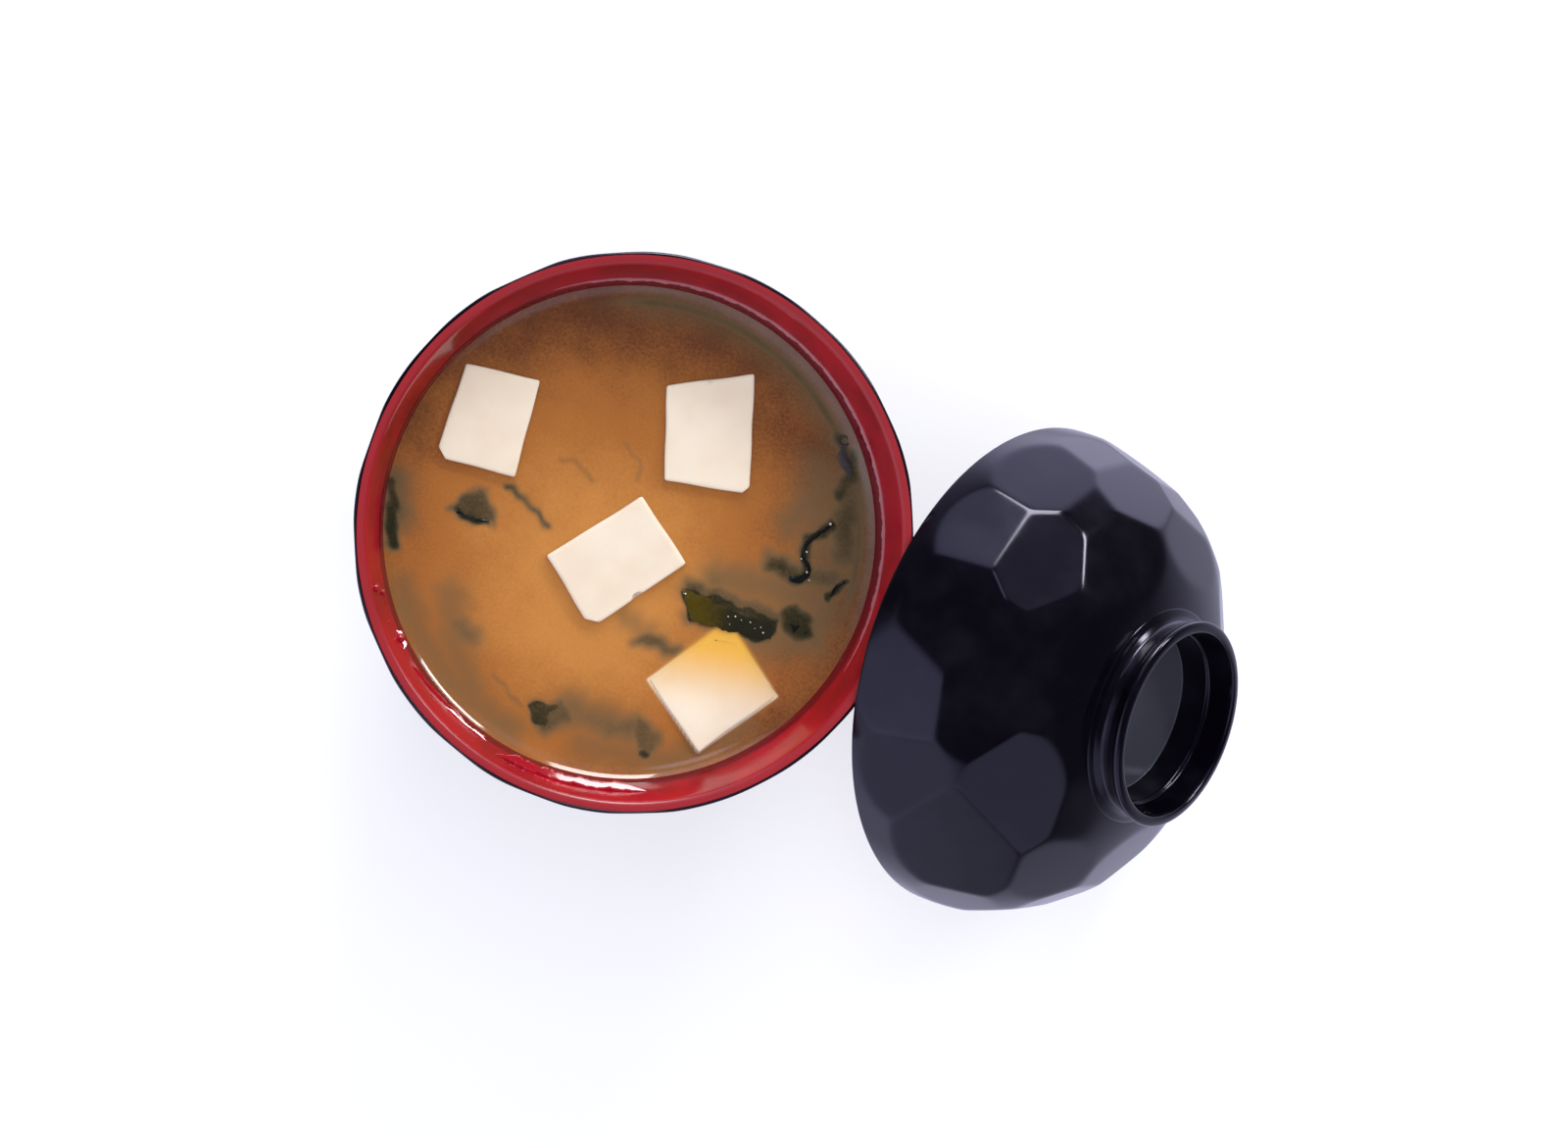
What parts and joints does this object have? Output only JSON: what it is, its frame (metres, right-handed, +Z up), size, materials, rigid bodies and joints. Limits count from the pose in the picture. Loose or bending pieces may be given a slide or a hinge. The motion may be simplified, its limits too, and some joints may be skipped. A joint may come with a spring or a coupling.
{
  "type": "miso soup in a lidded lacquer bowl",
  "caption": "Faceted black lacquer bowl, red inside, filled with miso soup, tofu blocks and wakame, its matching lid leaning on the rim.",
  "frame": {"origin": "on the ground, under the middle of the bounding box of the bowl and its leaning lid", "axes": "+Z up, +X from the bowl towards the lid, which is the longest extent, +Y across"},
  "size_m": [0.192, 0.1118, 0.0845],
  "materials": {
    "black_lacquer": "glossy black lacquer over cut wood",
    "red_lacquer": "glossy vermilion lacquer, wet above the soup",
    "miso_broth": "cloudy brown broth with a wet surface",
    "tofu": "moist, faintly grained, cut faces",
    "wakame": "wet, translucent dark green leaf"
  },
  "bodies": {
    "root": {"bowl": "black_lacquer", "lid": "black_lacquer", "soup": "miso_broth", "tofu_1": "tofu", "tofu_2": "tofu", "tofu_3": "tofu", "tofu_4": "tofu", "wakame_1": "wakame", "wakame_2": "wakame", "wakame_3": "wakame"}
  },
  "joints": []
}
